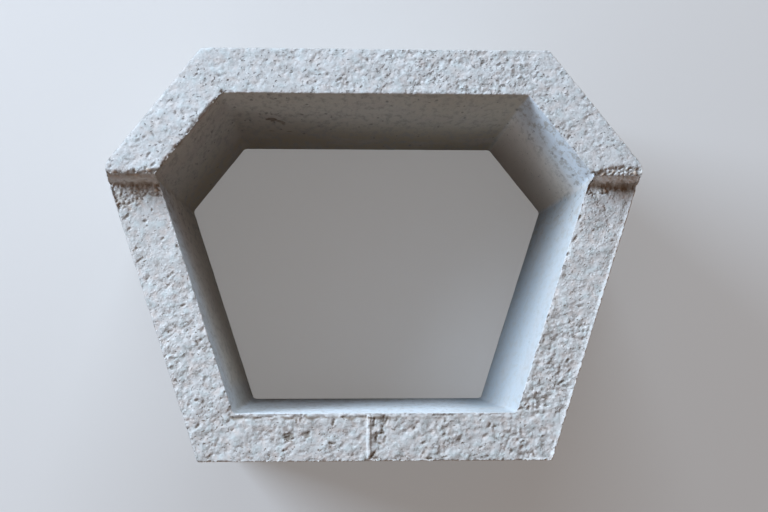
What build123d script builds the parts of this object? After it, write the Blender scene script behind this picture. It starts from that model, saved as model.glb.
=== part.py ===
"""Hollow six-sided concrete block, pressed in one piece in a block machine's steel mould.

Seen along its hollow, the block is a six-sided ring: a short crown wall at +Y, two sloping
shoulder walls, two long leg walls that lean inwards, and a base wall at -Y. The shoulders and
legs meet in a blunt nose at each side. The hollow runs right through along Z, and it is
drafted: the core that formed it was pulled out upwards, so it is widest at the top. The upper
end face has two levels. The crown and shoulders, here called the cap, stand higher than the
legs and the base, with a sloping riser between the levels at each nose. A thin fin of cement
crosses the base wall where two press plates met.

Frame: millimetres, Z along the hollow, X across the noses, Y from base to crown. The origin is
the centre of the block's footprint, on the plane that it stands on.
"""

from build123d import *
import math
import os

# Plan, at the outer faces
body_width = 390.0  # across the two noses
body_length = 300.0  # base face to crown face
base_width = 258.0  # base wall's outer face, corner to corner
crown_width = 255.0  # crown wall's outer face, corner to corner
leg_length = 201.5  # along Y, from the base face to the foot of the nose
nose_flat = 13.5  # length of the blunt nose along Y

# Heights
leg_height = 190.0  # top of the legs and the base wall
cap_rise = 18.0  # how far the cap stands above them

# Walls, measured square to each wall at the cap's top, where they are thinnest
base_wall = 34.5
leg_wall = 35.0
shoulder_wall = 33.5
crown_wall = 34.0
core_draft = 1.45  # degrees, each side of the core

# Corners and edges
base_corner_radius = 2.5  # upright outer corners of the base wall
crown_corner_radius = 4.0  # upright outer corners of the crown wall
nose_corner_radius = 5.0  # upright outer corners of each nose
core_corner_radius = 3.0  # upright corners inside the hollow
arris_radius = 1.6  # worn edge round the upper end face

# Riser between the two levels
riser_run = 4.5  # how far the riser leans back along Y
riser_foot_radius = 2.5

# Fin across the base wall, where two press plates met
fin_offset = -5.0  # along X from the middle
fin_foot = 2.6  # its width where it leaves the wall
fin_crest = 1.0  # its width at the top
fin_rise = 1.2
fin_root = 2.0  # how deep its foot is sunk into the wall

block_height = leg_height + cap_rise
base_y = -body_length / 2
crown_y = body_length / 2
riser_foot_y = base_y + leg_length
touch = 0.01  # two points nearer than this are the same


def crossing(start_a, end_a, start_b, end_b):
    """The point where the lines through two pairs of plan points cross."""
    along_a = end_a - start_a
    along_b = end_b - start_b
    gap = start_b - start_a
    turn = along_a.X * along_b.Y - along_a.Y * along_b.X
    share = (gap.X * along_b.Y - gap.Y * along_b.X) / turn
    return start_a + along_a * share


def outer_corners():
    """The outline's corners, anticlockwise from the base wall's left corner."""
    right = [
        Vector(base_width / 2, base_y),
        Vector(body_width / 2, riser_foot_y),
        Vector(body_width / 2, riser_foot_y + nose_flat),
        Vector(crown_width / 2, crown_y),
    ]
    left = [Vector(-p.X, p.Y) for p in reversed(right)]
    return [left[-1]] + right + left[:-1]


def core_corners(extra_wall):
    """The hollow's six corners, with every wall thicker than its named size by extra_wall."""
    base_left, base_right, nose_low, nose_high, crown_right, crown_left, *_ = outer_corners()
    sides = [
        (base_left, base_right, base_wall),
        (base_right, nose_low, leg_wall),
        (nose_high, crown_right, shoulder_wall),
        (crown_right, crown_left, crown_wall),
    ]
    moved = []
    for start, end, wall in sides:
        along = (end - start).normalized()
        inwards = Vector(-along.Y, along.X) * (wall + extra_wall)
        moved.append((start + inwards, end + inwards))
    right = [crossing(*low, *high) for low, high in zip(moved, moved[1:])]
    left = [Vector(-p.X, p.Y) for p in reversed(right)]
    return right + left


def plan_face(corners, radii):
    """A flat face with straight sides and the given radius at each corner."""
    outline = FilletPolyline(*corners, radius=radii, close=True)
    return make_face(outline)


def outer_prism():
    """The block's outside, as tall as the cap."""
    radii = [
        base_corner_radius,
        base_corner_radius,
        nose_corner_radius,
        nose_corner_radius,
        crown_corner_radius,
        crown_corner_radius,
        nose_corner_radius,
        nose_corner_radius,
    ]
    return extrude(plan_face(outer_corners(), radii), block_height)


def drafted_core():
    """The hollow: lofted straight from its narrow foot to its wide mouth."""
    narrowing = block_height * math.tan(math.radians(core_draft))
    corner_count = 6
    foot = plan_face(core_corners(narrowing), [core_corner_radius] * corner_count)
    mouth = plan_face(core_corners(0.0), [core_corner_radius] * corner_count)
    return loft([foot, Pos(0, 0, block_height) * mouth], ruled=True)


def level_cut():
    """All that lies above the legs and the base wall, in front of the leaning riser."""
    clear = block_height
    riser_top_y = riser_foot_y + riser_run
    lean = riser_run / cap_rise
    profile = Polyline(
        (base_y - clear, leg_height),
        (riser_foot_y, leg_height),
        (riser_top_y, block_height),
        (riser_top_y + lean * clear, block_height + clear),
        (base_y - clear, block_height + clear),
        close=True,
    )
    section = make_face(Plane.YZ * profile)
    return extrude(section, body_width, both=True)


def fin():
    """The thin fin across the base wall, between the wall's two worn edges."""
    wall_at_top = base_wall + cap_rise * math.tan(math.radians(core_draft))
    profile = Polyline(
        (-fin_foot / 2, -fin_root),
        (-fin_foot / 2, 0),
        (-fin_crest / 2, fin_rise),
        (fin_crest / 2, fin_rise),
        (fin_foot / 2, 0),
        (fin_foot / 2, -fin_root),
        close=True,
    )
    section = make_face(Plane.XZ * profile)
    ridge = extrude(section, wall_at_top / 2 - arris_radius, both=True)
    return Pos(fin_offset, base_y + wall_at_top / 2, leg_height) * ridge


def hollow_block():
    """The whole block, as one solid."""
    block = outer_prism() - drafted_core() - level_cut()
    foot_line = Vector(0, riser_foot_y, leg_height)
    feet = block.edges().filter_by(Axis.X).filter_by(
        lambda edge: (edge.center() - foot_line).cross(Vector(1, 0, 0)).length < touch
    )
    block = fillet(feet, riser_foot_radius)
    level_faces = block.faces().filter_by(Axis.Z).sort_by(Axis.Z)
    cap_face = level_faces[-1]
    leg_face = level_faces[-2]
    leg_edges = leg_face.edges().filter_by(
        lambda edge: edge.center().Y < riser_foot_y - riser_foot_radius
    )
    block = fillet(cap_face.edges() + leg_edges, arris_radius)
    return block + fin()


os.makedirs("parts", exist_ok=True)
block = hollow_block()
export_step(block, "parts/hollow_block.step")
print("hollow_block volume", round(block.volume), "mm3, box", block.bounding_box().size)
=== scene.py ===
# %% [markdown]
# # A hollow concrete block, dressed for its portrait
#
# The real thing is a six-sided ring of pressed concrete, lying on one end with its hollow
# upright. A block machine fills a steel mould with damp, sandy concrete, shakes it, and squeezes
# it from above with steel plates. So every face has a story: the sides are mould faces, smooth
# with a few air holes, and the upper end is what the plates left, a skin full of small pores.
#
# The exact shape is already made elsewhere and loads here as a fixed frame. This script builds
# the block again as one mesh that fits over that frame, with the roughness that a camera sees.

# %% load the frame
import math

import bpy
from mathutils import Euler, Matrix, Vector


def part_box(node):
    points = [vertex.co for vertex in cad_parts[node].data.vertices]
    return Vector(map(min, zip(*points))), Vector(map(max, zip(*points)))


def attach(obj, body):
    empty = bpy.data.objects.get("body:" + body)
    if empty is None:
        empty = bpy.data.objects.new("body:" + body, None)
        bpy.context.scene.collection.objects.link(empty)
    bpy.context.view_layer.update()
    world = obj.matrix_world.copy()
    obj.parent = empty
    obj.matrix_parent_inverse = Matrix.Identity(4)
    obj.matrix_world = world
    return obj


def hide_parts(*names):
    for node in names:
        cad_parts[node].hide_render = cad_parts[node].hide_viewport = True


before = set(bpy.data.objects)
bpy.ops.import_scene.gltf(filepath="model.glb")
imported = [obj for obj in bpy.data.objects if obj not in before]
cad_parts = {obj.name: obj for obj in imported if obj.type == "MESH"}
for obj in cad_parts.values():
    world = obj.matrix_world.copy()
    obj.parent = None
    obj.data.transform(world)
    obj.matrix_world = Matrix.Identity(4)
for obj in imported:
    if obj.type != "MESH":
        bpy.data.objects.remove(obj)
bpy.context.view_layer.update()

mm = 0.001
low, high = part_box("hollow_block")
print("block, lowest and highest corner in metres:", low, high)

# %% [markdown]
# ## Measuring up
#
# A hexagon with blunt noses is easier to think about as six straight walls. Each wall needs only
# two corners on its outside and a thickness. Everything else, such as the planes that cut the
# hollow, is worked out from those, so one list serves both the outside and the inside.

# %% sizes that the frame's box doesn't hold
base_half = 129.0 * mm
crown_half = 127.5 * mm
leg_length = 201.5 * mm
nose_flat = 13.5 * mm
cap_rise = 18.0 * mm
riser_run = 4.5 * mm
base_wall = 34.5 * mm
leg_wall = 35.0 * mm
shoulder_wall = 33.5 * mm
crown_wall = 34.0 * mm
core_draft = math.radians(1.45)

nose_low = low.y + leg_length
nose_high = nose_low + nose_flat
cap_level = high.z
leg_level = cap_level - cap_rise
riser_foot = nose_low
riser_top = riser_foot + riser_run
print("cap at", cap_level, "and legs at", leg_level)

# %% the six walls: a name, the two outer corners seen from above, and the thickness at the top
walls = [
    ("base", (-base_half, low.y), (base_half, low.y), base_wall),
    ("right leg", (base_half, low.y), (high.x, nose_low), leg_wall),
    ("right shoulder", (high.x, nose_high), (crown_half, high.y), shoulder_wall),
    ("crown", (crown_half, high.y), (-crown_half, high.y), crown_wall),
    ("left shoulder", (-crown_half, high.y), (low.x, nose_high), shoulder_wall),
    ("left leg", (low.x, nose_low), (-base_half, low.y), leg_wall),
]


def outward(start, end):
    """The level direction that points out of a wall, for corners listed anticlockwise."""
    return Vector((end[1] - start[1], start[0] - end[0], 0)).normalized()


for name, start, end, thickness in walls:
    print(name, "faces", [round(c, 2) for c in outward(start, end)])

# %% [markdown]
# ## Small helpers for working as by hand
#
# Blender's operators act on whatever is selected, as they do for a person at the screen. These
# helpers do what the hand does between two tools: pick one object, pick some of its edges or
# faces by where they are, or change it with a modifier.


# %% helpers: picking and changing things
def pick(thing):
    """Selects one object and nothing else."""
    bpy.ops.object.select_all(action="DESELECT")
    thing.select_set(True)
    bpy.context.view_layer.objects.active = thing


def modify(thing, kind, **settings):
    """Puts a modifier with some settings on a thing, and applies it."""
    pick(thing)
    modifier = thing.modifiers.new("change", kind)
    for name, setting in settings.items():
        setattr(modifier, name, setting)
    bpy.ops.object.modifier_apply(modifier=modifier.name)


def pick_parts(thing, kind, wanted):
    """Goes into edit mode with only those edges or faces selected that suit wanted."""
    pick(thing)
    bpy.ops.object.mode_set(mode="EDIT")
    bpy.ops.mesh.select_mode(type=kind)
    bpy.ops.mesh.select_all(action="DESELECT")
    bpy.ops.object.mode_set(mode="OBJECT")
    parts = thing.data.edges if kind == "EDGE" else thing.data.polygons
    for part in parts:
        part.select = wanted(part)
    bpy.ops.object.mode_set(mode="EDIT")
    return sum(part.select for part in parts)


def pick_edges(thing, wanted):
    """Picks the edges whose two ends suit wanted."""
    def suits(edge):
        return wanted(*(thing.data.vertices[end].co for end in edge.vertices))
    return pick_parts(thing, "EDGE", suits)


def add_cuboid(name, lowest, highest):
    """A box between two corners, with its origin left at the world's."""
    middle = (Vector(lowest) + Vector(highest)) / 2
    size = Vector(highest) - Vector(lowest)
    bpy.ops.object.select_all(action="DESELECT")
    bpy.ops.mesh.primitive_cube_add(size=1, location=middle, scale=size)
    bpy.ops.object.transform_apply(location=True, rotation=True, scale=True)
    bpy.context.object.name = name
    return bpy.context.object


def slice_off(thing, point, direction):
    """Cuts away all that lies beyond a plane, and closes the cut."""
    pick(thing)
    bpy.ops.object.mode_set(mode="EDIT")
    bpy.ops.mesh.select_all(action="SELECT")
    bpy.ops.mesh.bisect(plane_co=point, plane_no=direction, clear_outer=True, use_fill=True)
    bpy.ops.object.mode_set(mode="OBJECT")


# %% [markdown]
# ## The outside of the block
#
# We could draw the outline point by point, but a sculptor's way is shorter: start from a box of
# the block's full size, and saw off what isn't block. Four sloping saw cuts give both legs and
# both shoulders, and the strips of the box that are left over at each side are the noses.

# %% a box, and four saw cuts
block = add_cuboid("hollow_block_cast", low, high)
for name, start, end, thickness in walls:
    if "leg" in name or "shoulder" in name:
        slice_off(block, (*start, 0), outward(start, end))
print("outside after the saw cuts:", len(block.data.polygons), "faces")

# %% [markdown]
# Steel moulds wear, and damp concrete doesn't fill a sharp corner, so the upright corners are
# slightly round. A bevel of a few segments does that. The noses stick out and get knocked, so
# theirs is the largest.


# %% round the upright corners outside
near = 1 * mm


def upright(a, b):
    return abs(a.x - b.x) + abs(a.y - b.y) < 0.01 * mm and abs(a.z - b.z) > near


def rounded(thing, wanted, set_back):
    """Rounds the edges whose two ends suit wanted, and returns how many there were."""
    count = pick_edges(thing, wanted)
    bpy.ops.mesh.bevel(offset=set_back, segments=4, affect="EDGES")
    bpy.ops.object.mode_set(mode="OBJECT")
    return count


def at_nose(point):
    return abs(point.x) > high.x - near


def at_base(point):
    return point.y < low.y + near


def at_crown(point):
    return point.y > high.y - near


for name, there, set_back in (("nose", at_nose, 2.4 * mm), ("base", at_base, 1.6 * mm),
                              ("crown", at_crown, 2.0 * mm)):
    count = rounded(block, lambda a, b: upright(a, b) and there(a), set_back)
    print(name, "corners rounded:", count)

# %% [markdown]
# ## Two levels
#
# The upper end has two levels, because the press plates over the legs went down further than the
# plate over the cap. So we make that plate, a box whose back leans by the riser's run, and let a
# Boolean modifier press it out of the block. The draft of a plate is what makes a riser lean.


# %% a Boolean helper, and the plate
def combine(thing, tool, operation):
    """Cuts a tool's shape out of a thing, or fuses it on, and removes the tool."""
    modify(thing, "BOOLEAN", operation=operation, solver="EXACT", object=tool)
    bpy.data.objects.remove(tool)
    return len(thing.data.polygons)


clear = 20 * mm
plate = add_cuboid("plate", (low.x - clear, low.y - clear, leg_level),
                   (high.x + clear, riser_foot, cap_level + clear))
pick_edges(plate, lambda a, b: min(a.z, b.z) > cap_level and min(a.y, b.y) > low.y)
bpy.ops.transform.translate(value=(0, riser_run * (cap_rise + clear) / cap_rise, 0))
bpy.ops.object.mode_set(mode="OBJECT")
print("after the plate:", combine(block, plate, "DIFFERENCE"), "faces")

# %% [markdown]
# ## The hollow
#
# A steel core made the hollow and was drawn out upwards, so it is a little wider at the top. We
# make that core: a box, cut by six planes that stand one wall's thickness inside the outer faces
# and lean by the draft angle. Then a Boolean modifier takes it out of the block, as the machine
# did the other way round.

# %% the core, cut to its six leaning sides
core = add_cuboid("core", low + Vector((0, 0, -clear)), high + Vector((0, 0, clear)))
for name, start, end, thickness in walls:
    side = outward(start, end)
    point = Vector((*start, cap_level)) - side * thickness
    lean = side * math.cos(core_draft) + Vector((0, 0, -math.sin(core_draft)))
    slice_off(core, point, lean)

# %% soften its corners, and take it out of the block
core_set_back = 1.85 * mm
half_height = (high.z - low.z) / 2
softened = rounded(core, lambda a, b: abs(a.z - b.z) > half_height, core_set_back)
print("core corners softened:", softened)
print("the ring has", combine(block, core, "DIFFERENCE"), "faces")

# %% [markdown]
# ## Worn edges
#
# Every edge of a pressed block is a little crumbled. A Bevel modifier that works by angle finds
# all the sharp ones by itself and leaves the soft upright corners alone.

# %% bevel what is sharp
worn_width = 0.3 * mm
sharp = math.radians(50)
modify(block, "BEVEL", width=worn_width, segments=2, limit_method="ANGLE", angle_limit=sharp)
print("ring with worn edges:", len(block.data.polygons), "faces")

# %% [markdown]
# ## The fin that two press plates left
#
# Two plates meet over the base wall, and cement squeezed up between them in a thin fin. It could
# be part of the roughness later on, but it is a clear form of its own, so it is modelled: a bar
# with its top pinched in, fused to the block by the same Boolean modifier.


# %% a bar with a pinched top
def pinched_bar(name, lowest, highest, crest):
    """A bar along Y whose top face is as wide as crest."""
    bar = add_cuboid(name, lowest, highest)
    pick_parts(bar, "FACE", lambda face: face.normal.z > 0.9)
    bpy.ops.transform.resize(value=(crest / (highest[0] - lowest[0]), 1, 1))
    bpy.ops.object.mode_set(mode="OBJECT")
    return bar


fin_left, fin_right = -7.3 * mm, -2.7 * mm
fin_crest = 2.0 * mm
fin_rise = 0.8 * mm
fin_root = 1.2 * mm
base_wall_below = 34.96 * mm  # the base wall is thicker than at the cap's level, by the draft
fin_start = low.y + 2 * mm
fin_end = low.y + base_wall_below - 1.2 * mm
fin = pinched_bar("plate_fin", (fin_left, fin_start, leg_level - fin_root),
                  (fin_right, fin_end, leg_level + fin_rise), fin_crest)
print("with the fin:", combine(block, fin, "UNION"), "faces")

# %% [markdown]
# ## One even skin
#
# To be roughened, the mesh needs points everywhere. A voxel Remesh gives them in one go: it fills
# the form with small cubes and wraps a new skin round them. That skin is even, but it is coarse
# and its edges come out blunt. So a copy of the exact form is kept first. Then the faces at the
# upper end are subdivided, where the press left its marks, and a Shrinkwrap modifier pulls every
# point back onto the exact form. The faces that still cut a corner there are subdivided once
# more and pulled back again, which makes the upper edges crisp.

# %% keep the exact form, and remesh
pick(block)
bpy.ops.object.duplicate()
form = bpy.context.object
form.name = "exact_form"
cube_size = 2.4 * mm
modify(block, "REMESH", mode="VOXEL", voxel_size=cube_size)
print("even skin:", len(block.data.polygons), "faces")

# %% finer at the upper end, and round one large air hole in the crown wall
wall_hole = Vector((-78 * mm, 113.7 * mm, 116 * mm))
wall_hole_reach = 14 * mm
pressed_depth = 7 * mm
corner_depth = 3 * mm
steep, nearly_level = 0.3, 0.97  # the normal's Z


def needs_detail(face):
    point = face.center
    level = leg_level if point.y < riser_foot else cap_level
    if point.y < riser_top and point.z > leg_level - pressed_depth:
        return True
    return point.z > level - pressed_depth or (point - wall_hole).length < wall_hole_reach


def cuts_a_corner(face):
    return face.center.z > leg_level - corner_depth and steep < face.normal.z < nearly_level


for wanted, cuts in ((needs_detail, 2), (cuts_a_corner, 1)):
    print("faces to subdivide:", pick_parts(block, "FACE", wanted))
    bpy.ops.mesh.subdivide(number_cuts=cuts)
    bpy.ops.object.mode_set(mode="OBJECT")
    modify(block, "SHRINKWRAP", target=form, wrap_method="NEAREST_SURFACEPOINT")
bpy.data.objects.remove(form)
print("pulled back onto the exact form:", len(block.data.vertices), "points")

# %% [markdown]
# ## Node helpers
#
# The roughness comes from procedural textures, in a Geometry Nodes modifier, and the colours come
# from the same kinds of node in a material. Both trees take the same maths and texture nodes, so
# one small set of helpers builds both. Each helper finds its tree by the sockets that it is
# given, so that a line of maths reads almost as it would on paper. Lengths are in millimetres.


# %% helpers: numbers
def tree_of(*values):
    """The node tree of the first socket among some values."""
    return next(value.id_data for value in values if isinstance(value, bpy.types.NodeSocket))


def plug(socket, value):
    """Joins a socket to another node's output, or sets it to a plain value."""
    if isinstance(value, bpy.types.NodeSocket):
        socket.id_data.links.new(value, socket)
    else:
        socket.default_value = value


def new_node(tree, kind, values, **settings):
    """Adds a node with some settings, and plugs values into its sockets."""
    node = tree.nodes.new(kind)
    for name, setting in settings.items():
        setattr(node, name, setting)
    for name, value in values.items():
        plug(node.inputs[name], value)
    return node


def maths(operation, first, second=0.0):
    node = new_node(tree_of(first, second), "ShaderNodeMath", {0: first, 1: second},
                    operation=operation)
    return node.outputs[0]


def chained(operation, parts):
    """Runs one operation along a row of values."""
    result = parts[0]
    for part in parts[1:]:
        result = maths(operation, result, part)
    return result


def total(*parts):
    return chained("ADD", parts)


def product(*parts):
    return chained("MULTIPLY", parts)


def largest(*parts):
    return chained("MAXIMUM", parts)


def minus(first, second):
    return maths("SUBTRACT", first, second)


def size_of(value):
    return maths("ABSOLUTE", value)


def eased(value, start, end, first=0.0, last=1.0):
    """Goes smoothly from first to last while value goes from start to end, and no further."""
    values = {"Value": value, "From Min": start, "From Max": end, "To Min": first, "To Max": last}
    node = new_node(tree_of(value), "ShaderNodeMapRange", values, interpolation_type="SMOOTHSTEP")
    return node.outputs["Result"]


def mixed(share, none, full):
    """Goes from the value for none to the value for full while a share goes from 0 to 1."""
    return eased(share, 0.0, 1.0, none, full)


# %% helpers: places and textures
def split(vector):
    return tuple(new_node(tree_of(vector), "ShaderNodeSeparateXYZ", {0: vector}).outputs)


def vector_maths(operation, first, second):
    return new_node(tree_of(first), "ShaderNodeVectorMath", {0: first, 1: second},
                    operation=operation)


def enlarged(vector, times):
    node = new_node(tree_of(vector), "ShaderNodeVectorMath", {0: vector, "Scale": times},
                    operation="SCALE")
    return node.outputs[0]


def along(place, direction):
    """How far a place lies along a direction."""
    return vector_maths("DOT_PRODUCT", place, direction).outputs["Value"]


def stretched(place, turn, sizes):
    """Turns a place about Z and divides it by three sizes, so that a texture is drawn out."""
    turned = new_node(tree_of(place), "ShaderNodeVectorRotate", {"Vector": place, "Angle": turn},
                      rotation_type="Z_AXIS")
    return vector_maths("DIVIDE", turned.outputs["Vector"], sizes).outputs["Vector"]


def texture(kind, place, size, **settings):
    """A texture node whose pattern is about the given size."""
    return new_node(tree_of(place), kind, {"Vector": place, "Scale": 1 / size}, **settings)


def noise(place, size, detail=2.0, roughness=0.5):
    """Cloudy noise from 0 to 1, whose largest clouds are about the given size."""
    node = texture("ShaderNodeTexNoise", place, size)
    plug(node.inputs["Detail"], detail)
    plug(node.inputs["Roughness"], roughness)
    return node.outputs[0]


def wobbled(place, size, amount):
    """Shifts a place by noise, so that what is round in a texture comes out ragged."""
    clouds = texture("ShaderNodeTexNoise", place, size).outputs["Color"]
    centred = vector_maths("SUBTRACT", clouds, (0.5, 0.5, 0.5)).outputs["Vector"]
    shifted = vector_maths("MULTIPLY_ADD", centred, (amount, amount, amount))
    plug(shifted.inputs[2], place)
    return shifted.outputs["Vector"]


def cells(place, size):
    """Random cells of about the given size: how far the cell's middle is, and a random colour."""
    node = texture("ShaderNodeTexVoronoi", place, size)
    return node.outputs["Distance"], node.outputs["Color"]


def seams(place, size):
    """How far the nearest border between such cells is, as a part of their size."""
    node = texture("ShaderNodeTexVoronoi", place, size, feature="DISTANCE_TO_EDGE")
    return node.outputs["Distance"]


def holes(place, spacing, share, reach):
    """1 inside air holes and 0 on sound concrete. Share is the part of the cells with a hole,
    and reach is the largest hole's radius as a part of the spacing."""
    distance, colour = cells(place, spacing)
    chance = split(colour)[0]
    radius = eased(chance, minus(1.0, share), 1.0, 0.0, reach)
    return eased(minus(radius, distance), 0.0, 0.1)


print("node helpers ready")

# %% [markdown]
# ## Single dents
#
# Procedural noise gives every part of a surface the same look, but some pits, scratches and
# notches on this block are large enough to be told apart. Each is marked by a thin bar that
# floats just over the surface. The relief asks every point how far the nearest bar is, and sinks
# it as if a fingertip had been run along the bar. The lower the bar, the deeper the dent. The
# wall's own list gives a place with its height, and a length.

# %% the dents: place in millimetres, length, bearing from +X in degrees, depth
fingertip = 1.3
sunk_share = 0.75
cap_dents = [
    (-113.9, 128.7, 1.0, 0, 1.5), (-124.0, 124.9, 0.5, 0, 0.9), (-6.1, 140.8, 1.6, -50, 1.5),
    (-25.6, 127.4, 1.2, 50, 1.5), (-28.0, 126.0, 0.6, 0, 1.0), (-35.3, 130.7, 1.8, 60, 1.0),
    (-23.7, 130.3, 0.6, 0, 1.1), (-71.5, 145.9, 2.0, 20, 0.5), (-48.7, 123.0, 0.8, 0, 0.9),
    (-92.5, 122.7, 0.8, 0, 0.9), (96.8, 141.9, 0.8, -50, 1.5), (90.1, 138.6, 2.6, 30, 1.4),
    (107.6, 137.2, 3.2, -50, 1.2), (106.5, 128.9, 2.0, 30, 1.1), (110.0, 124.7, 3.4, 65, 1.0),
    (66.7, 121.8, 1.0, 30, 0.9), (35.4, 126.2, 1.0, 60, 1.0), (37.5, 136.6, 1.0, 30, 0.9),
    (152.3, 114.7, 2.2, 40, 1.6), (122.2, 106.0, 1.6, -50, 1.2), (128.3, 95.7, 2.4, -50, 1.3),
    (141.0, 85.5, 3.2, 60, 1.5), (137.5, 82.3, 2.0, -30, 1.4), (134.8, 87.0, 1.0, 0, 1.2),
    (-145.0, 101.4, 1.0, 70, 1.2), (-139.6, 100.6, 1.2, -40, 1.1), (-139.2, 96.6, 0.8, 0, 1.0),
    (-167.2, 83.1, 1.4, 50, 1.0), (-160.7, 85.0, 2.4, -60, 1.0), (-172.5, 84.3, 1.0, 60, 0.9),
    (-155.3, 79.6, 1.0, 0, 1.0), (-163.8, 70.5, 3.6, 55, 1.0), (-160.5, 63.6, 3.0, 35, 1.5),
    (-178.5, 67.2, 2.4, 0, 0.9), (-191.1, 61.7, 1.8, 40, 1.1), (-131.8, 94.9, 2.2, -30, 1.3),
    (173.6, 82.9, 1.0, 0, 1.2), (154.0, 87.5, 0.8, 0, 0.9), (157.5, 58.9, 8.0, 4, 1.7),
    (156.5, 56.9, 6.0, 0, 1.7),
]
leg_dents = [
    (-181.8, 27.8, 3.4, 40, 1.6), (-168.4, 24.7, 1.4, 0, 1.4), (-179.7, 18.8, 2.6, 45, 1.0),
    (-174.2, 4.5, 1.4, 50, 1.3), (-171.8, -4.1, 3.4, 35, 0.8), (-155.2, 11.9, 1.6, 35, 0.9),
    (-165.8, -16.9, 4.0, 60, 0.9), (-149.3, -14.7, 5.0, 45, 0.8), (-151.4, -23.1, 4.0, 50, 0.8),
    (-144.6, 6.0, 1.6, -40, 1.7), (-139.8, -36.8, 2.2, 20, 1.3), (-149.5, -56.0, 2.6, 30, 1.0),
    (-129.6, -64.2, 2.2, -60, 1.3), (-148.2, -74.9, 1.0, 0, 1.1), (-129.2, -105.3, 1.2, 20, 1.2),
    (-129.0, -124.3, 3.0, 35, 1.0), (-63.1, -131.3, 6.4, 24, 1.7), (-62.6, -132.4, 5.6, 22, 1.6),
    (-50.4, -129.6, 5.0, 20, 1.4), (-50.0, -130.6, 3.6, 20, 1.1), (-61.9, -133.8, 4.4, 22, 1.5),
    (-63.9, -130.0, 4.0, 24, 1.2), (-49.4, -131.9, 3.0, 20, 1.2), (-54.2, -119.3, 5.0, 80, 0.8),
    (-30.7, -121.6, 4.0, 75, 1.4), (-32.0, -136.8, 4.0, -10, 1.2), (-65.1, -141.2, 4.0, 25, 0.8),
    (-53.2, -142.7, 3.4, 0, 0.8), (-57.4, -120.2, 3.0, 80, 1.1), (-1.3, -121.8, 5.0, 85, 1.6),
    (5.9, -119.5, 4.6, 75, 1.6), (7.8, -120.9, 3.6, 60, 1.5), (0.4, -132.2, 4.6, 80, 1.6),
    (2.4, -136.8, 3.4, -20, 1.3), (6.6, -134.2, 4.0, 75, 1.1), (3.9, -129.6, 4.0, 15, 1.2),
    (-2.4, -145.4, 4.6, 50, 1.7), (-0.2, -147.6, 2.6, 10, 1.5), (4.8, -126.4, 2.6, 80, 1.2),
    (35.5, -136.6, 3.0, 20, 0.8), (28.2, -126.5, 1.4, 50, 1.1), (83.1, -124.5, 2.2, 60, 1.2),
    (50.6, -120.2, 2.4, 75, 0.9), (76.5, -140.1, 2.0, 30, 0.9), (39.3, -148.0, 2.6, 0, 1.5),
    (49.6, -116.9, 15.0, 0, 0.8), (80.4, -117.1, 7.0, 4, 0.7), (105.7, -112.5, 3.4, 20, 1.5),
    (112.2, -111.7, 2.0, 70, 1.4), (125.4, -109.9, 2.4, 0, 1.1), (-100.5, -118.0, 5.0, 0, 1.5),
    (-94.0, -118.4, 6.0, 0, 0.9), (-78.5, -117.6, 8.0, 0, 0.8), (-15.5, -117.9, 17.0, 1, 1.2),
    (-57.0, -117.4, 4.0, 0, 1.0), (164.5, 44.8, 4.0, 85, 1.5), (152.1, 28.4, 2.4, 60, 1.3),
    (148.4, 12.7, 5.0, 55, 1.2), (142.6, 1.0, 1.2, 50, 1.2), (176.2, 11.3, 0.8, 0, 1.1),
    (151.4, -37.4, 3.4, 0, 0.9), (141.4, -77.6, 2.2, 45, 1.1), (121.4, -105.1, 2.4, 30, 1.2),
    (135.8, -94.0, 3.6, 45, 0.8),
]
wall_dents = [
    (-80.0, 114.0, 125.0, 4.0), (-80.0, 114.0, 123.0, 7.0), (-80.2, 114.0, 121.0, 8.0),
    (-80.0, 113.9, 119.0, 7.0), (-79.5, 113.8, 116.5, 1.6), (-79.5, 113.7, 114.0, 1.4),
    (-75.0, 113.8, 117.0, 3.0), (-73.6, 113.8, 114.5, 4.0), (-72.8, 113.7, 112.0, 3.6),
    (-71.8, 113.6, 109.0, 2.6), (-71.3, 113.5, 106.0, 1.8), (-71.0, 113.3, 103.0, 1.4),
    (-82.0, 112.8, 79.0, 5.0), (-81.0, 112.8, 77.0, 4.0), (-67.0, 112.7, 75.0, 4.0),
]
print("dents:", len(cap_dents) + len(leg_dents) + len(wall_dents))

# %% a bar for each dent
bar_width = 0.1 * mm


def add_bar(name, place, length, bearing):
    bpy.ops.mesh.primitive_cube_add(size=1, location=place, rotation=(0, 0, bearing),
                                    scale=(length, bar_width, bar_width))
    bpy.context.object.name = name


bpy.ops.object.select_all(action="DESELECT")
bars = []
for level, dents in ((cap_level, cap_dents), (leg_level, leg_dents)):
    for east, north, length, bearing, depth in dents:
        over = level + (fingertip - sunk_share * depth) * mm
        add_bar("dent_bar", (east * mm, north * mm, over), length * mm, math.radians(bearing))
        bars.append(bpy.context.object)
for east, north, up, length in wall_dents:
    add_bar("dent_bar", (east * mm, north * mm, up * mm), length * mm, 0)
    bars.append(bpy.context.object)
for bar in bars:
    bar.select_set(True)
bpy.ops.object.join()
bpy.ops.object.transform_apply(location=True, rotation=True, scale=True)
dent_bars = bpy.context.object
print("bars joined:", len(dent_bars.data.polygons), "faces")

# %% [markdown]
# ## Where on the block is a point?
#
# Each point is pushed in by a depth that depends on where it is. So first the relief works out
# where that is: on the cap or on the legs, on a pressed face or a moulded one, and how far from
# the block's outer edge and from the hollow. The last two come from the list of walls. The outer
# edge is as far as the nearest outer face, and the hollow is as far as the farthest of the inner
# ones, which is how distance to a six-sided shape works.

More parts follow.
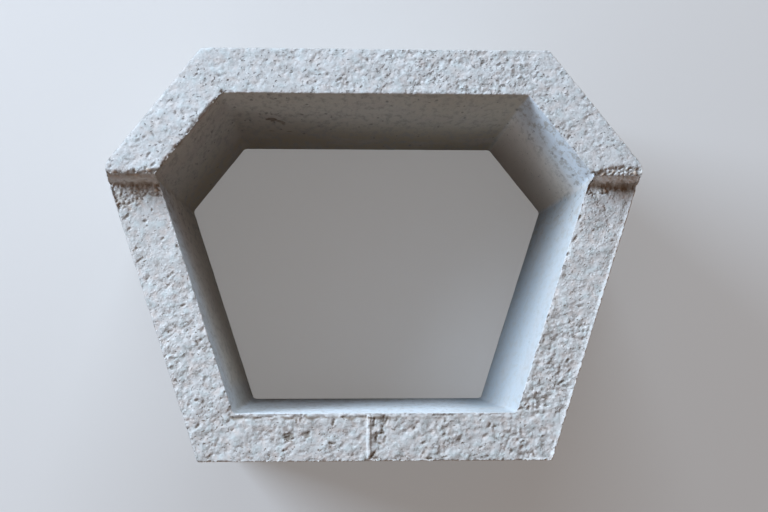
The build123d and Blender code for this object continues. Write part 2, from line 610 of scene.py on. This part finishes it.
# %% start the tree, with the place in millimetres
relief = bpy.data.node_groups.new("concrete_relief", "GeometryNodeTree")
relief.interface.new_socket("Geometry", in_out="INPUT", socket_type="NodeSocketGeometry")
relief.interface.new_socket("Geometry", in_out="OUTPUT", socket_type="NodeSocketGeometry")
geometry_in = relief.nodes.new("NodeGroupInput")
geometry_out = relief.nodes.new("NodeGroupOutput")
position = relief.nodes.new("GeometryNodeInputPosition").outputs[0]
normal = relief.nodes.new("GeometryNodeInputNormal").outputs[0]
place = enlarged(position, 1 / mm)
x, y, z = split(place)
facing_x, facing_y, facing_z = split(normal)

# %% stretches of the block that many layers share, in millimetres
foot_mm, top_mm = riser_foot / mm, riser_top / mm
leg_mm, cap_mm = leg_level / mm, cap_level / mm
onto_right_half = (0, 10)  # along X
onto_right_leg = (90, 105)
past_right_corner = (105, 135)  # the crown's right corner
onto_base = (-112, -118)  # along Y
down_the_legs = (20, -60)
fin_middle = -5.0
to_window = Vector((-0.75, 0.43, 0.0))

# %% the zones
on_cap = eased(y, foot_mm + 2, top_mm)
on_legs = minus(1.0, on_cap)
below_level = minus(eased(y, foot_mm, top_mm, leg_mm, cap_mm), z)
near_top = eased(below_level, 7.0, 3.0)
in_wall = minus(1.0, near_top)
pressed = eased(facing_z, 0.55, 0.9)
moulded = minus(1.0, pressed)
on_base = eased(y, *onto_base)
upper = eased(z, leg_mm - 4, leg_mm - 2)
past_foot = eased(y, 45, 50)
before_top = eased(y, 60, 57)
on_riser = product(eased(facing_y, -0.5, -0.85), upper, past_foot, before_top)
lit_side = eased(along(normal, to_window), 0.1, 0.4)
dim_side = eased(along(normal, -to_window), 0.1, 0.4)


def by_level(cap, legs):
    """Takes the value of the level that a point is on."""
    return mixed(on_cap, legs, cap)


def by_zone(cap, legs, walls):
    """Takes the value of the zone that a point is in."""
    return mixed(pressed, walls, by_level(cap, legs))


# %% how far the outer edge and the hollow are
far_away = 1000.0
outer_gap = minus(high.x / mm, size_of(x))
inner_gap = -far_away
for name, start, end, thickness in walls:
    side = outward(start, end)
    gap = minus(Vector((*start, 0)).dot(side) / mm, along(place, side))
    outer_gap = maths("MINIMUM", outer_gap, gap)
    inner_gap = largest(inner_gap, minus(thickness / mm, gap))
off_wall = eased(inner_gap, -0.2, 1.0)
lip_height = eased(below_level, 3.5, 0.5)
inner_lip = product(lip_height, eased(size_of(inner_gap), 3.0, 0.3))
outer_lip = product(lip_height, eased(outer_gap, 2.2, 0.2))
print("zones and edge distances ready, nodes so far:", len(relief.nodes))

# %% [markdown]
# ## The pressed skin
#
# A press plate squeezes every high grain to one level, so only hollows are left below it. That is
# why all depths count downwards, and it also keeps the block within its real size. The skin is
# made in layers, from coarse to fine: broad noise with many octaves, lumps as large as a grain,
# swells that join them, and a fine stipple on top, drawn out along the way that the plate lifted
# off. The layers grow stronger down the legs and towards the right, because the real block's skin
# does. The cap's right half and the base also show seams between whole grains.

# %% skin and stipple: sizes in millimetres
cap_skin = product(eased(x, -60, 90, 1.6, 1.9), eased(x, *past_right_corner, 1.0, 0.75))
leg_skin = total(2.3, product(on_base, 0.4), product(eased(x, *onto_right_leg), 0.5))
skin_size = by_level(cap_skin, leg_skin)
skin_share = largest(minus(noise(place, 13.0, 5.0), 0.22), 0.0)
lifted = stretched(place, math.radians(-30), (3.8, 2.5, 3.0))
stipple_share = eased(noise(lifted, 1.0, 2.0, 0.55), 0.5, 0.8)
stipple_size = by_level(eased(x, -20, 110, 0.2, 0.3), 0.26)

# %% lumps and swells, and patches where they are stronger
grain_size = 3.3
lump_place = wobbled(place, 3.5, 2.0)
lump_distance, lump_colour = cells(lump_place, grain_size)
lump_chance = split(lump_colour)[1]
lump_gap = product(eased(lump_distance, 0.2, 0.75), eased(lump_chance, 0.1, 0.9, 0.3, 1.0))
cap_lump = product(eased(x, -120, 40, 0.22, 0.36), eased(x, *past_right_corner, 1.0, 0.6))
right_leg = product(eased(x, *onto_right_leg), on_legs)
leg_lump = product(eased(y, *down_the_legs, 0.2, 0.42), total(1.0, product(right_leg, 0.2)))
lump_size = by_level(cap_lump, leg_lump)
lump_patch = eased(noise(place, 14.0), 0.36, 0.64, 0.35, 1.4)
swells = eased(noise(lump_place, 4.5, 4.0, 0.6), 0.33, 0.67)
cap_swell = product(eased(x, -120, 40, 0.25, 0.35), eased(x, 100, 125, 1.0, 0.3))
leg_swell = product(eased(y, 20, -80, 0.12, 0.5), eased(x, 60, 120, 1.0, 1.35))
swell_size = by_level(cap_swell, leg_swell)
lumps = product(lump_gap, lump_size, lump_patch)
lumps = total(lumps, product(swells, swell_size, lump_patch))
broad_size = by_level(0.0, eased(y, *down_the_legs, 0.1, 0.5))
broad = product(eased(noise(place, 16.0), 0.35, 0.65), broad_size)

# %% where the skin is calmer: beside the hollow, on the right leg's rim and on the fin
bright_side = product(on_legs, largest(on_base, eased(x, 90, 100, 0.0, 0.5)))
creep_gap = total(inner_gap, product(noise(place, 7.0, 3.0), 6.0), -5.7)
calm_lip = product(bright_side, eased(creep_gap, 1.4, -1.2))
lip_slope = product(bright_side, eased(inner_gap, 3.2, 0.5, 0.0, 0.45))
rim_stretch = eased(x, 100, 120)
on_rim = product(eased(outer_gap, 2.8, 1.6), rim_stretch, on_legs, eased(below_level, 4.0, 2.0))
on_fin = product(on_base, eased(size_of(minus(x, fin_middle)), 3.2, 1.8))
calm_part = largest(on_rim, calm_lip, on_fin)
calm = minus(1.0, product(calm_part, 0.75))
stipple = product(stipple_share, stipple_size, calm)
lumps = product(lumps, calm)

# %% seams between whole grains, and the moulded walls' own slight unevenness
seam_share = eased(seams(wobbled(place, 3.0, 1.2), grain_size), 0.13, 0.01)
seam_patch = eased(noise(place, 8.0), 0.47, 0.62)
seam_size = by_level(eased(x, -110, 60, 0.2, 0.6), eased(y, 0, -80, 0.1, 0.35))
seam_share = product(seam_share, seam_patch, seam_size)
least_depth = 0.03
wall_skin = product(minus(noise(place, 11.0, 5.0), 0.3), moulded, 0.5)
wall_skin = largest(wall_skin, least_depth)

# %% [markdown]
# ## Loose grains, edges and dents
#
# No plate reached the foot of the riser, so there the grains lie loose, each at its own height
# with a dark gap round it, of dust and painted shade. They also break through along the cap's
# front edge, which is worn back, and the riser below it is lumpy. The inner lips crumbled when
# the core was drawn, most of all on the left shoulder, and the outer ones only a little.

# %% where the grains lie loose
ahead = minus(foot_mm, y)
behind = minus(y, top_mm)
left_reach = eased(x, -158, -190, 9, 21)
right_reach = eased(x, 150, 190, 9, 4)
front_reach = eased(x, -1, 1, left_reach, right_reach)
back_reach = eased(x, 150, 178, 4.0, 7.5)
clouds = noise(place, 5.0)
ragged = product(minus(clouds, 0.5), 14.0)
loose_ahead = eased(minus(total(front_reach, ragged), ahead), 0.0, 3.0)
loose_behind = eased(minus(total(back_reach, ragged), behind), 0.0, 2.0)
smooth_level = eased(x, *onto_right_half, cap_mm - 6.0, cap_mm - 13.0)
smooth_below = total(smooth_level, product(ragged, -0.5))
smooth_riser = product(on_riser, eased(minus(smooth_below, z), -1.0, 1.5), 0.8)
loose = product(loose_ahead, loose_behind, upper, minus(1.0, smooth_riser), off_wall,
                eased(outer_gap, 0.6, 1.6))
loose_size = 3.1
loose_place = wobbled(place, 2.5, 0.8)
gaps_between = eased(seams(loose_place, loose_size), 0.27, 0.03)
grain_chance = split(cells(loose_place, loose_size)[1])[0]
loose_depth = product(loose, total(product(gaps_between, 1.1), product(grain_chance, 0.8)))

# %% the worn front edge of the cap, and the riser below it
riser_lumps = noise(stretched(place, 0.0, (5.0, 5.0, 11.0)), 1.0, 3.0, 0.6)
riser_wear = product(eased(facing_y, -0.35, -0.8), upper, past_foot, before_top,
                     eased(riser_lumps, 0.36, 0.62), eased(x, *onto_right_half, 0.7, 2.2))
worn_edge = product(eased(behind, 4.5, -0.5), on_cap, upper, off_wall)
worn_depth = product(worn_edge, eased(clouds, 0.3, 0.7, 0.7, 1.8))

# %% the riser's foot: a groove with a painted dark contact shadow, and painted brown shade ahead of it
foot_width = eased(x, 165, 190, 1.4, 3.6)
foot_strength = eased(x, *onto_right_half, 0.8, eased(x, 158, 186, 0.3, 1.0))
foot_line = product(eased(size_of(minus(ahead, 0.4)), foot_width, 0.3), upper, off_wall,
                    foot_strength, eased(noise(place, 3.2), 0.25, 0.6))
foot_shade = product(eased(ahead, 9.0, 0.5), eased(ahead, -4.0, 0.0), upper, off_wall,
                     eased(x, 155, 188, 0.12, 0.78), eased(noise(place, 6.0, 3.0), 0.3, 0.65))

# %% the lips, the right leg's lower level and its sloping rim, and the fin's wear
on_left_shoulder = product(on_cap, eased(x, -95, -120))
crumbs = total(noise(place, 4.2, 4.0, 0.65), product(on_left_shoulder, 0.06))
crumbs = eased(crumbs, 0.45, 0.66)
crumbly = by_level(mixed(on_left_shoulder, 0.4, 1.7), 0.4)
outer_crumbly = mixed(on_base, 0.45, 0.9)
lip_depth = product(crumbs, total(product(inner_lip, crumbly), product(outer_lip, outer_crumbly)))
shoe_line = minus(y, total(-142.4, product(x, 0.252)))
shoe_depth = product(eased(x, 99, 104), eased(shoe_line, -0.5, 0.6), on_legs, 0.4)
rim_slope = product(rim_stretch, on_legs, eased(outer_gap, 0.6, 2.4, 0.0, 0.4))
fin_wear = product(on_fin, eased(noise(place, 9.0), 0.35, 0.65, 0.2, 0.6))

# %% the dents
bars_in = new_node(relief, "GeometryNodeObjectInfo", {"Object": dent_bars})
ragged_position = enlarged(wobbled(place, 1.6, 1.6), mm)
nearest = new_node(relief, "GeometryNodeProximity", {"Geometry": bars_in.outputs["Geometry"],
                                                     "Sample Position": ragged_position})
bar_distance = product(nearest.outputs["Distance"], 1 / mm)
dent_depth = largest(minus(fingertip, bar_distance), 0.0)
dent_push = product(dent_depth, mixed(on_cap, 1.0, 0.7))

# %% where cement crept up beside the core: a shallow groove, and a brown line that is partly dirt and partly painted shade
creep_width = eased(clouds, 0.35, 0.65, 0.9, 2.8)
creep_on_base = product(on_base, eased(x, 40, 0, 0.45, 1.0))
creep_on_leg = product(eased(x, 100, 105), eased(y, 0, -8), 0.6)
creep_patch = eased(noise(place, 11.0), 0.4, 0.52)
creep = product(eased(size_of(creep_gap), creep_width, 0.1), pressed, creep_patch,
                total(creep_on_base, creep_on_leg))

# %% all layers together
settled = total(product(skin_share, skin_size), stipple, lumps, broad, lip_slope, shoe_depth,
                rim_slope, fin_wear, dent_push, product(seam_share, 0.6), product(creep, 0.35))
settled = product(settled, near_top)
depth = total(wall_skin, loose_depth, worn_depth, product(foot_line, 0.8), lip_depth,
              product(dent_push, in_wall), product(on_riser, lump_gap, 0.6), riser_wear)
print("all depths ready, nodes:", len(relief.nodes))

# %% [markdown]
# ## Pushing, and what the material needs to know
#
# What the press plate left is pushed straight down, as the plate did it. Walls, loose grains,
# worn edges and lips are pushed along their normals. The material can't ask the mesh how deep it
# was pressed, so the relief leaves thirteen notes on every point. Some say how dusty, loose,
# grainy or full of air holes the concrete is there, and where shade is painted into hollows.
# Others say which wall of the hollow it is, because each wall gets its own painted light or shade.

# %% notes on dust and painted shade, pores and grains
# brown between lumps, round loose grains and in dents: partly dust, partly painted shade in the
# gaps
lump_dust_and_shade = eased(product(lump_gap, lump_patch), 0.6, 1.05)
gap_dust_and_shade = product(gaps_between, loose, mixed(on_riser, 0.65, 0.35))
dent_dust_and_shade = eased(dent_depth, 0.0, 1.0, 0.0, mixed(on_base, 0.85, 1.1))
# painted shadow in the crown wall's large holes, dark where their upper lips shade them
painted_wall_hole_shadow = product(eased(dent_depth, 0.0, 0.6), in_wall, 1.33)
lit_edge = product(outer_lip, lit_side)
# dust and painted shade: brown where shade falls in gaps, seams, dents, at the riser's foot and on
# lit edges
dust_and_shade_note = largest(gap_dust_and_shade, product(foot_line, 0.8), dent_dust_and_shade, product(creep, 1.25), foot_shade,
                    painted_wall_hole_shadow, product(seam_share, pressed),
                    product(crumbs, inner_lip, crumbly, 0.3),
                    product(stipple_share, stipple_size, pressed, 0.4),
                    product(lump_dust_and_shade, lump_size, pressed, 1.1),
                    product(lit_edge, eased(noise(place, 3.0), 0.35, 0.65), 0.3))
well_inside = eased(outer_gap, 10, 25)
cap_holes = product(eased(x, -120, 60, 0.42, 0.76), eased(x, *past_right_corner, 1.0, 0.45))
wall_holes = product(well_inside, eased(z, 60, 110, 0.2, 0.7), eased(y, 10, 45, 0.1, 1.0))
hole_note = by_zone(cap_holes, 0.35, wall_holes)
upper_legs = eased(x, *onto_right_half, 0.7, 1.25)
grainy_legs = product(eased(x, 60, 110, 1.0, 1.3), eased(y, -20, 30, 1.0, upper_legs),
                      mixed(on_base, 1.0, 0.55))
grainy_cap = product(eased(x, -60, 90, 0.45, 0.9), eased(x, *past_right_corner, 1.0, 0.65))
grainy_note = product(calm, by_zone(grainy_cap, grainy_legs, 0.4))
# painted light on the riser, which faces away from the lamps, and a paler tone, partly painted
# light, on the calm rim, lip and fin
rim_note = product(on_riser, eased(x, *onto_right_half, 0.2, eased(z, 192, 199, 0.35, 1.0)),
                   eased(riser_lumps, 0.62, 0.4, 0.2, 1.0))
rim_note = largest(rim_note, product(calm_part, 0.18))

# %% notes on the hollow's walls, told apart by the way that they face, for their painted light and shade
inside = product(moulded, well_inside)
in_shade = product(eased(facing_x, -0.45, -0.2), eased(facing_y, 0.7, 0.4))
faces_crown = eased(facing_y, 0.1, 0.25)
shaded_leg = product(in_shade, faces_crown)
lit_leg = product(eased(facing_x, -0.5, -0.8), faces_crown)
lit_shoulder = product(eased(facing_x, -0.3, -0.6), eased(facing_y, -0.2, -0.4))
base_inside = eased(facing_y, 0.7, 0.9)
crown_inside = eased(facing_y, -0.8, -0.95)
# painted shade on the walls that face away from the window, less at the top of the shaded leg
less_painted_shade = product(shaded_leg, eased(z, 100, 180, 0.0, 0.55))
painted_shade_note = product(inside, in_shade, minus(1.0, less_painted_shade))
# cool painted shade on the walls that face the window, darker low down
cool_shade_note = product(inside, eased(z, 200, 60, 0.6, 0.95), eased(y, -20, 50, 1.0, 0.84),
                     total(lit_leg, product(base_inside, eased(x, 45, 90))))
# painted light on the right shoulder, on the base wall's left part and on the top of the shaded
# leg
painted_light_part = total(lit_shoulder, product(base_inside, eased(x, 90, 45, 0.0, 0.7)),
                  product(shaded_leg, eased(z, 120, 190, 0.45, 0.8)))
painted_light_note = product(inside, painted_light_part)
# painted shade low down in the hollow and on the crown wall's right half
low_share = total(product(in_shade, mixed(shaded_leg, 0.65, 0.3)), product(lit_shoulder, 0.45))
low_part = largest(product(eased(z, 150, 40), low_share),
                   product(crown_inside, eased(x, 0, 60, 0.0, 0.25)))
low_note = product(inside, low_part)
wall_mottle = total(0.45, product(inside, eased(y, 10, 45, 0.3, 0.55)))
calm_wall = product(inside, lit_shoulder, eased(z, 170, 90, 0.1, 0.4))
mottled_note = minus(by_zone(0.0, 0.3, wall_mottle), calm_wall)

# %% leave the notes on the points
notes = {
    "dust": dust_and_shade_note,
    "loose": loose,
    "grain": grain_chance,
    "holes": hole_note,
    "grainy": grainy_note,
    "mottled": mottled_note,
    "rim": rim_note,
    "film": painted_shade_note,
    "sheen": cool_shade_note,
    "pale": painted_light_note,
    "low": low_note,
    "lit_edge": lit_edge,
    "dim_edge": product(outer_lip, dim_side),
}
noted = geometry_in.outputs[0]
for name, value in notes.items():
    values = {"Geometry": noted, "Name": name, "Value": value}
    store = new_node(relief, "GeometryNodeStoreNamedAttribute", values, data_type="FLOAT",
                     domain="POINT")
    noted = store.outputs["Geometry"]

# %% push the points in
inwards = enlarged(normal, product(depth, -mm))
downwards = new_node(relief, "ShaderNodeCombineXYZ", {"Z": product(settled, -mm)})
both_ways = vector_maths("ADD", inwards, downwards.outputs[0]).outputs["Vector"]
push = new_node(relief, "GeometryNodeSetPosition", {"Geometry": noted, "Offset": both_ways})
plug(geometry_out.inputs[0], push.outputs["Geometry"])
modify(block, "NODES", node_group=relief)
bpy.data.objects.remove(dent_bars)
print("roughened:", len(block.data.vertices), "points")

# %% [markdown]
# ## Fewer triangles where nothing happens
#
# The mould faces are nearly flat and need few points. The Decimate modifier removes points where
# the surface is flattest first, so those faces end up with large triangles while the pores and
# grains keep theirs.

# %% decimate to a budget
triangle_budget = 194000
triangles = sum(len(face.vertices) - 2 for face in block.data.polygons)
kept_share = min(1.0, triangle_budget / triangles)
modify(block, "DECIMATE", ratio=kept_share, use_collapse_triangulate=True)
bpy.ops.object.shade_smooth()
print("triangles before:", triangles, "and after:", len(block.data.polygons))

# %% [markdown]
# ## The concrete itself
#
# Pressed concrete is sand and a little cement. From a metre away it is a cool light grey, with
# lighter and darker grains, and warm brown dust in every hollow, which also paints the shade
# there. The walls of the hollow and some edges get painted light and shade as well. The material
# mixes those by procedural textures in the block's own coordinates, and by the notes that the
# relief left. It works like paint: each line lays one more colour over the last, as thickly as
# its amount.

# %% material: start, and helpers
concrete = bpy.data.materials.new("pressed_concrete")
concrete.use_nodes = True
tree = concrete.node_tree
shader = tree.nodes["Principled BSDF"]
plug(shader.inputs["Roughness"], 0.95)
plug(shader.inputs["Specular IOR Level"], 0.25)
spot = enlarged(tree.nodes.new("ShaderNodeTexCoord").outputs["Object"], 1 / mm)


def blended(amount, first, second):
    """Mixes two colours, each a socket or a plain colour."""
    values = {"Factor": amount, "A": first, "B": second}
    return new_node(tree_of(amount), "ShaderNodeMix", values, data_type="RGBA").outputs["Result"]


def noted_on_points(name):
    return new_node(tree, "ShaderNodeAttribute", {}, attribute_name=name).outputs["Fac"]


note = {name: noted_on_points(name) for name in notes}

# %% colours of paste, grains and dust
paste = (0.52, 0.515, 0.505, 1)
pale_paste = (0.56, 0.557, 0.55, 1)
dull_paste = (0.45, 0.44, 0.42, 1)
pink_paste = (0.585, 0.525, 0.49, 1)
green_paste = (0.475, 0.525, 0.525, 1)
sandy_paste = (0.545, 0.515, 0.485, 1)
warm_grain = (0.50, 0.40, 0.31, 1)
white_grain = (0.74, 0.74, 0.73, 1)
dark_grain = (0.19, 0.18, 0.17, 1)
dull_grain = (0.51, 0.48, 0.44, 1)
tan_grain = (0.55, 0.43, 0.33, 1)
# the brown of dust, which also paints the shade in hollows
dust = (0.195, 0.152, 0.115, 1)
grey_dust_and_shade = (0.17, 0.153, 0.14, 1)

# %% colours of walls and edges
painted_shade_brown = (0.49, 0.44, 0.355, 1)
painted_cool_shade = (0.33, 0.37, 0.405, 1)
warm_painted_light = (0.80, 0.73, 0.65, 1)
cool_painted_light = (0.62, 0.68, 0.74, 1)
painted_low_shade = (0.33, 0.235, 0.135, 1)
wall_stain = (0.44, 0.375, 0.335, 1)
wall_cloud = (0.33, 0.297, 0.255, 1)
pit_shade_grey = (0.16, 0.15, 0.14, 1)
painted_light_white = (0.96, 0.97, 0.98, 1)
painted_shade_on_lit_edge = (0.27, 0.25, 0.225, 1)
painted_light_on_dim_edge = (0.92, 0.88, 0.82, 1)

# %% the paste between the grains, sandier on the legs and the base
on_sandy_part = (0.0, 0.3)
colour = blended(eased(noise(spot, 30.0, 3.0), 0.4, 0.65), paste, pale_paste)
tint = noise(spot, 6.5)
tinted = eased(note["mottled"], *on_sandy_part, 0.5, 1.0)
colour = blended(product(eased(tint, 0.5, 0.68), tinted), colour, pink_paste)
colour = blended(product(eased(tint, 0.5, 0.32), tinted), colour, green_paste)
colour = blended(eased(note["mottled"], *on_sandy_part, 0.0, 0.35), colour, sandy_paste)
mottle = eased(noise(spot, 4.0, 3.0, 0.6), 0.45, 0.75)
mottle = product(mottle, total(0.5, note["mottled"]))
colour = blended(mottle, colour, dull_paste)

# %% single grains in the paste
grain_distance, grain_colour = cells(spot, 1.7)
chance, other_chance, third_chance = split(grain_colour)
in_grain = eased(grain_distance, 0.5, 0.3)
is_warm = product(in_grain, eased(chance, 0.9, 0.96), 0.15)
white_share = total(0.25, product(note["grainy"], 0.35))
is_white = product(in_grain, eased(other_chance, 0.6, 0.9), white_share)
dark_share = total(0.4, note["grainy"])
is_dark = product(in_grain, eased(third_chance, 0.8, 0.94), 0.35, dark_share)
colour = blended(is_warm, colour, warm_grain)
colour = blended(is_white, colour, white_grain)
colour = blended(is_dark, colour, dark_grain)

# %% the hollow's walls: painted shade on shaded walls, cool painted shade on lit ones, painted light on paler parts, and painted shade low down
colour = blended(product(note["film"], 0.75), colour, painted_shade_brown)
colour = blended(note["sheen"], colour, painted_cool_shade)
spot_y, spot_z = split(spot)[1:]
cool_part = largest(eased(spot_z, 110, 180), eased(spot_y, -90, -100))
painted_wall_light = blended(cool_part, warm_painted_light, cool_painted_light)
colour = blended(product(note["pale"], 0.8), colour, painted_wall_light)
colour = blended(note["low"], colour, painted_low_shade)

# %% stains, clouds of darker paste and air pits with painted shade in them, drawn out upwards
drawn_up = stretched(spot, 0.0, (1.0, 1.0, 2.6))
wall_note = eased(note["mottled"], 0.5, 1.0)
stain = eased(noise(spot, 30.0), 0.5, 0.7)
colour = blended(product(stain, wall_note, 0.4), colour, wall_stain)
cloud = eased(noise(drawn_up, 5.0, 4.0, 0.7), 0.46, 0.66)
colour = blended(product(cloud, wall_note, 0.85), colour, wall_cloud)
pits = holes(wobbled(drawn_up, 2.5, 2.0), 4.6, product(note["holes"], 0.9), 0.3)
colour = blended(product(pits, wall_note, 0.65), colour, pit_shade_grey)

# %% loose grains differ more from each other
loose_colour = blended(eased(note["grain"], 0.45, 0.75), dull_grain, white_grain)
loose_colour = blended(eased(note["grain"], 0.2, 0.1), loose_colour, tan_grain)
colour = blended(product(note["loose"], 0.75), colour, loose_colour)

# %% fine air holes with painted shade in them, painted light on the riser and calm rims, painted shade and light on the outer edges, and dust with painted shade in every hollow
pore_spot = stretched(wobbled(spot, 2.2, 1.4), math.radians(-35), (1.5, 0.95, 1.0))
pore_level = minus(0.70, product(note["holes"], 0.09))
pore_level = total(pore_level, product(wall_note, 0.2))
pore_level = minus(pore_level, eased(noise(spot, 12.0), 0.4, 0.65, -0.02, 0.04))
air_holes = eased(minus(noise(pore_spot, 2.1), pore_level), 0.0, 0.05)
pore_shade = blended(eased(note["mottled"], *on_sandy_part), grey_dust_and_shade, dust)
colour = blended(product(air_holes, 0.8), colour, pore_shade)
# painted light on the riser and on the calm rim, lip and fin
colour = blended(note["rim"], colour, painted_light_white)
# painted shade on the outer edges that face the window, against their highlight
colour = blended(product(note["lit_edge"], 0.6), colour, painted_shade_on_lit_edge)
# painted light on the outer edges that face away from the window
colour = blended(note["dim_edge"], colour, painted_light_on_dim_edge)
colour = blended(product(note["dust"], 0.75), colour, pore_shade)
plug(shader.inputs["Base Color"], colour)

# %% bump finer than the mesh, in millimetres
bump = new_node(tree, "ShaderNodeBump", {"Distance": 1 * mm, "Strength": 1.0})
drawn_out = stretched(spot, math.radians(-50), (1.25, 0.9, 1.0))
dome_distance, dome_colour = cells(drawn_out, 1.9)
dome = eased(dome_distance, 0.6, 0.1)
dome_height = product(dome, total(0.4, product(split(dome_colour)[0], 0.6)))
dome_height = product(dome_height, note["grainy"], 0.15)
fine = product(noise(spot, 1.3, 3.0, 0.6), 0.25)
plug(bump.inputs["Height"], total(fine, dome_height, product(air_holes, -0.4)))
plug(shader.inputs["Normal"], bump.outputs["Normal"])
block.data.materials.clear()
block.data.materials.append(concrete)
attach(block, "root")
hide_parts("hollow_block")
print("concrete:", len(tree.nodes), "nodes")

# %% [markdown]
# ## Floor
#
# The block lies on a plain pale floor. Concrete picks up the tone of what lies round it, and its
# hollow is dim and brownish low down, so the light that bounces off the floor has to come from
# something dark. A Light Path node gives both: the camera sees a pale floor, and every other ray
# meets a dark one. A little glow, which only the camera sees, evens the floor out.


# %% floor: helpers
def is_seen(tree):
    """1 for the camera and for mirror images and glass, 0 for light that bounces."""
    path = tree.nodes.new("ShaderNodeLightPath").outputs
    return largest(path["Is Camera Ray"], path["Is Glossy Ray"], path["Is Transmission Ray"])


def mixed_shaders(amount, first, second):
    values = {0: amount, 1: first, 2: second}
    return new_node(tree_of(amount), "ShaderNodeMixShader", values).outputs[0]


# %% floor
dark_floor = (0.05, 0.045, 0.04, 1)
pale_floor = (0.52, 0.50, 0.49, 1)
floor_glow_grey = (0.80, 0.80, 0.80, 1)
bpy.ops.object.select_all(action="DESELECT")
bpy.ops.mesh.primitive_plane_add(size=8, location=(0, 0, 0))
floor = bpy.context.object
floor.name = "floor"
floor_paint = bpy.data.materials.new("pale_floor")
floor_paint.use_nodes = True
floor_tree = floor_paint.node_tree
floor_shader = floor_tree.nodes["Principled BSDF"]
plug(floor_shader.inputs["Roughness"], 0.9)
plug(floor_shader.inputs["Specular IOR Level"], 0.1)
floor_colour = blended(is_seen(floor_tree), dark_floor, pale_floor)
plug(floor_shader.inputs["Base Color"], floor_colour)
floor_glow = new_node(floor_tree, "ShaderNodeEmission", {"Color": floor_glow_grey})
glow_share = product(is_seen(floor_tree), 0.25)
floor_surface = mixed_shaders(glow_share, floor_shader.outputs[0], floor_glow.outputs[0])
plug(floor_tree.nodes["Material Output"].inputs["Surface"], floor_surface)
floor.data.materials.append(floor_paint)
print("floor ready")

# %% [markdown]
# ## Light and room
#
# The light is one large cool window at the upper left of the picture, a weaker one at the top,
# and a faint one at the lower left. The room round the block is dim and warm. With the painted
# light and shade on the walls, that puts the warm shade on the hollow's upper walls and the
# brightness on its lower right ones. Seen from the side, the room is plain and pale.


# %% lamps
def add_window(name, place, size, power, colour):
    """A square area lamp that faces the block."""
    lamp = bpy.data.lights.new(name, "AREA")
    lamp.size = size
    lamp.energy = power
    lamp.color = colour
    holder = bpy.data.objects.new(name, lamp)
    holder.location = place
    holder.rotation_euler = (-Vector(place)).to_track_quat("-Z", "Y").to_euler()
    bpy.context.scene.collection.objects.link(holder)
    print(name, "stands at", [round(c, 2) for c in place])


def from_side(bearing, height, distance):
    """A place seen from the block at a bearing from +X, and at a height above the floor."""
    turn, lift = math.radians(bearing), math.radians(height)
    level = distance * math.cos(lift)
    return (level * math.cos(turn), level * math.sin(turn), distance * math.sin(lift))


window_distance = 2.6
add_window("window", from_side(150, 30, window_distance), 1.3, 122, (0.675, 0.827, 1.0))
add_window("far_window", from_side(90, 30, window_distance), 1.3, 52, (0.71, 0.857, 1.0))
add_window("side_window", from_side(240, 22, window_distance), 1.0, 9, (0.80, 0.90, 1.0))

# %% the room: dim and warm for the block, plain and pale for the camera
warm_dusk = (1.0, 0.53, 0.26, 1)
pale_grey = (0.78, 0.78, 0.78, 1)
world = bpy.data.worlds.new("room")
world.use_nodes = True
room = world.node_tree
dim_room = room.nodes["Background"]
plug(dim_room.inputs["Color"], warm_dusk)
plug(dim_room.inputs["Strength"], 0.155)
pale_room = new_node(room, "ShaderNodeBackground", {"Color": pale_grey})
room_surface = mixed_shaders(is_seen(room), dim_room.outputs[0], pale_room.outputs[0])
plug(room.nodes["World Output"].inputs["Surface"], room_surface)
bpy.context.scene.world = world
bpy.context.scene.view_settings.view_transform = "Standard"
print("room ready")

# %% [markdown]
# ## Camera
#
# The photo was taken from almost straight above, so that we look down into the hollow. The
# camera stands about a metre up, a little to the left and in front of the middle.

# %% camera, worked out from the block's own edges in the photo
camera_place = (-0.0342, -0.0766, 1.0856)
camera_tilt = (4.849, -2.569, -0.106)
camera_data = bpy.data.cameras.new("camera")
camera_data.lens = 57.47
camera_data.sensor_width = 36
camera_data.clip_start = 0.05
camera = bpy.data.objects.new("camera", camera_data)
camera.location = camera_place
camera.rotation_euler = Euler([math.radians(angle) for angle in camera_tilt])
bpy.context.scene.collection.objects.link(camera)
bpy.context.scene.camera = camera
print("camera at", camera_place)
